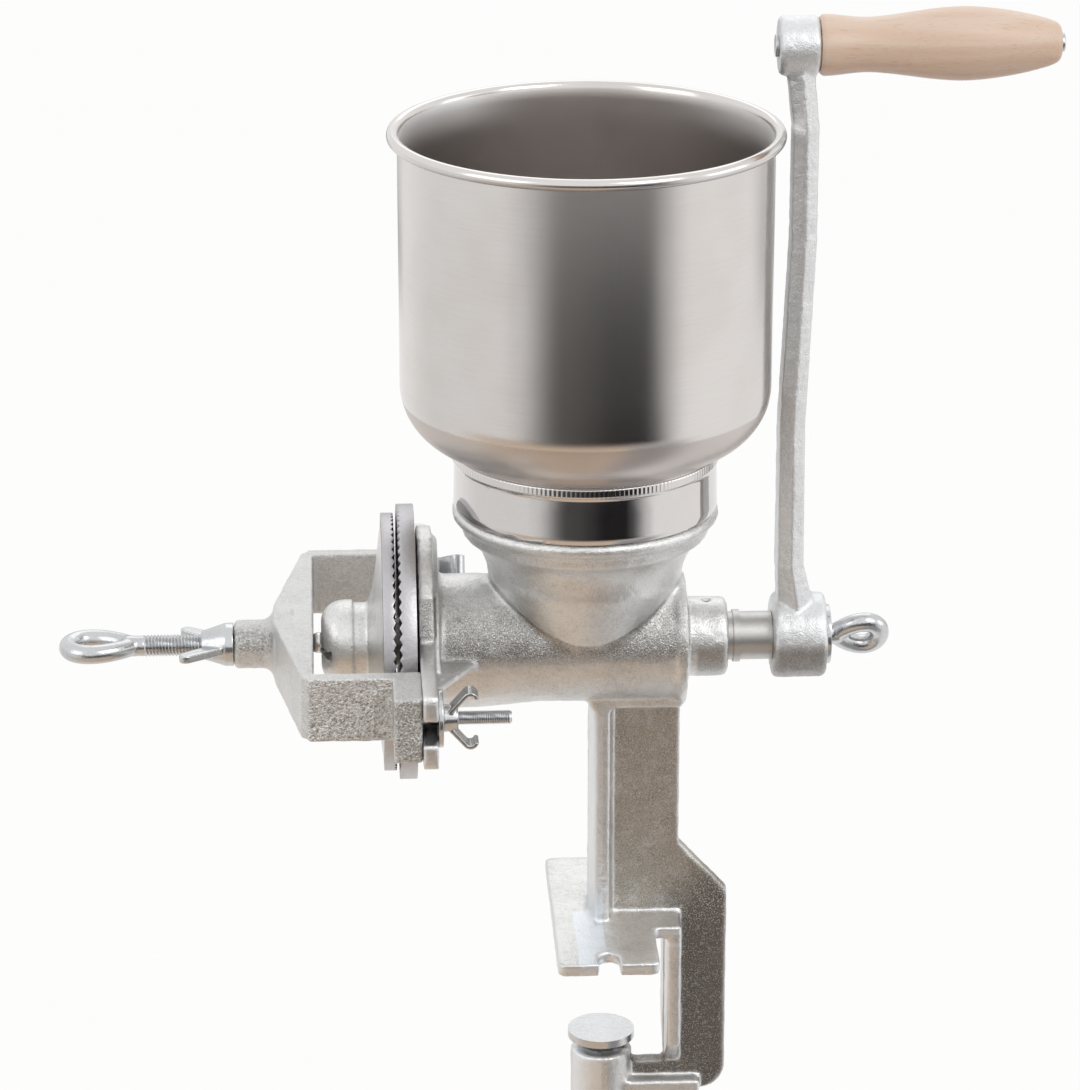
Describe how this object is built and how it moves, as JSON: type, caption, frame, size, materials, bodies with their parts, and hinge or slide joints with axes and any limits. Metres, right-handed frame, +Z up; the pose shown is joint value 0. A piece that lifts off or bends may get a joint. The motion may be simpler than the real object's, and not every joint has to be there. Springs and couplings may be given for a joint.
{
  "type": "clamp-on hand mill",
  "caption": "Clamp-on hand mill for small seeds: a tall steel hopper over a horizontal feed screw, plate burrs with an adjusting yoke, and a crank with a turned grip.",
  "frame": {"origin": "on the upper jaw's underside, straight below the hopper's axis", "axes": "+X along the shaft to the crank, +Z up along the hopper, -Y the side of the jaw's notch"},
  "size_m": [0.3737, 0.188, 0.5068],
  "materials": {
    "tinned_casting": "hot tinned casting, grainy and bright",
    "burr_iron": "plain grey casting with a turned rim",
    "satin_steel": "satin stainless sheet, brushed round",
    "polished_steel": "mirror polished stainless sheet",
    "zinc_plate": "bright zinc plating",
    "shaft_steel": "turned steel",
    "beech": "turned beech, lightly waxed"
  },
  "bodies": {
    "root": {"mill_body": "tinned_casting", "stationary_burr": "burr_iron", "burr_screws": "zinc_plate", "yoke": "tinned_casting", "yoke_stud_front": "zinc_plate", "yoke_stud_rear": "zinc_plate"},
    "thrust": {"thrust_ball": "polished_steel"},
    "adjuster": {"adjusting_screw": "zinc_plate"},
    "locknut": {"lock_nut": "zinc_plate"},
    "rotor": {"burr_carrier": "tinned_casting", "rotating_burr": "burr_iron", "carrier_screws": "zinc_plate", "auger_shaft": "shaft_steel", "crank_arm": "tinned_casting", "grip_bolt": "zinc_plate"},
    "handle": {"grip": "beech"},
    "crank_washer": {"crank_washer": "zinc_plate"},
    "crank_screw": {"crank_screw": "zinc_plate"},
    "front_washer": {"washer_front": "zinc_plate"},
    "front_nut": {"wing_nut_front": "zinc_plate"},
    "rear_washer": {"washer_rear": "zinc_plate"},
    "rear_nut": {"wing_nut_rear": "zinc_plate"},
    "pad": {"clamp_pad": "zinc_plate"},
    "clamp_screw": {"clamp_screw": "zinc_plate"},
    "hopper": {"hopper_bucket": "satin_steel", "hopper_collar": "polished_steel"}
  },
  "joints": [
    {"name": "thrust_slide", "type": "slide", "parent": "root", "child": "thrust", "axis": [1, 0, 0], "range_m": [-0.00094, 0.00075]},
    {"name": "adjust_turn", "type": "hinge", "parent": "thrust", "child": "adjuster", "pos_m": [-0.13, 0, 0.118], "axis": [1, 0, 0], "range_deg": [-271, 217]},
    {"name": "crank_turn", "type": "hinge", "parent": "thrust", "child": "rotor", "pos_m": [0, 0, 0.118], "axis": [1, 0, 0], "continuous": true},
    {"name": "grip_spin", "type": "hinge", "parent": "rotor", "child": "handle", "pos_m": [0.13, 0, 0.3475], "axis": [1, 0, 0], "continuous": true},
    {"name": "lock_nut_turn", "type": "hinge", "parent": "root", "child": "locknut", "pos_m": [-0.14, 0, 0.118], "axis": [1, 0, 0], "range_deg": [-90, 0]},
    {"name": "front_washer_slide", "type": "slide", "parent": "root", "child": "front_washer", "axis": [1, 0, 0], "range_m": [0, 0.0048]},
    {"name": "front_nut_turn", "type": "hinge", "parent": "front_washer", "child": "front_nut", "pos_m": [-0.05, -0.078, 0.118], "axis": [1, 0, 0], "range_deg": [0, 2161]},
    {"name": "rear_washer_slide", "type": "slide", "parent": "root", "child": "rear_washer", "axis": [1, 0, 0], "range_m": [0, 0.0048]},
    {"name": "rear_nut_turn", "type": "hinge", "parent": "rear_washer", "child": "rear_nut", "pos_m": [-0.05, 0.078, 0.118], "axis": [1, 0, 0], "range_deg": [0, 2161]},
    {"name": "crank_washer_slide", "type": "slide", "parent": "rotor", "child": "crank_washer", "axis": [1, 0, 0], "range_m": [0, 0.003]},
    {"name": "crank_screw_turn", "type": "hinge", "parent": "crank_washer", "child": "crank_screw", "pos_m": [0.1, 0, 0.118], "axis": [1, 0, 0], "range_deg": [0, 1081]},
    {"name": "pad_lift", "type": "slide", "parent": "root", "child": "pad", "axis": [0, 0, 1], "range_m": [-0.001, 0.033]},
    {"name": "clamp_turn", "type": "hinge", "parent": "pad", "child": "clamp_screw", "pos_m": [0.007, 0, -0.08], "axis": [0, 0, 1], "range_deg": [-181, 5941]},
    {"name": "hopper_lift", "type": "slide", "parent": "root", "child": "hopper", "axis": [0, 0, 1], "range_m": [0, 0.012]}
  ],
  "couplings": [
    {"joint": "adjust_turn", "follows": "thrust_slide", "rad_per_m": 5026.5},
    {"joint": "front_nut_turn", "follows": "front_washer_slide", "rad_per_m": 7854},
    {"joint": "rear_nut_turn", "follows": "rear_washer_slide", "rad_per_m": 7854},
    {"joint": "crank_screw_turn", "follows": "crank_washer_slide", "rad_per_m": 6283.2},
    {"joint": "clamp_turn", "follows": "pad_lift", "rad_per_m": 3141.6}
  ]
}
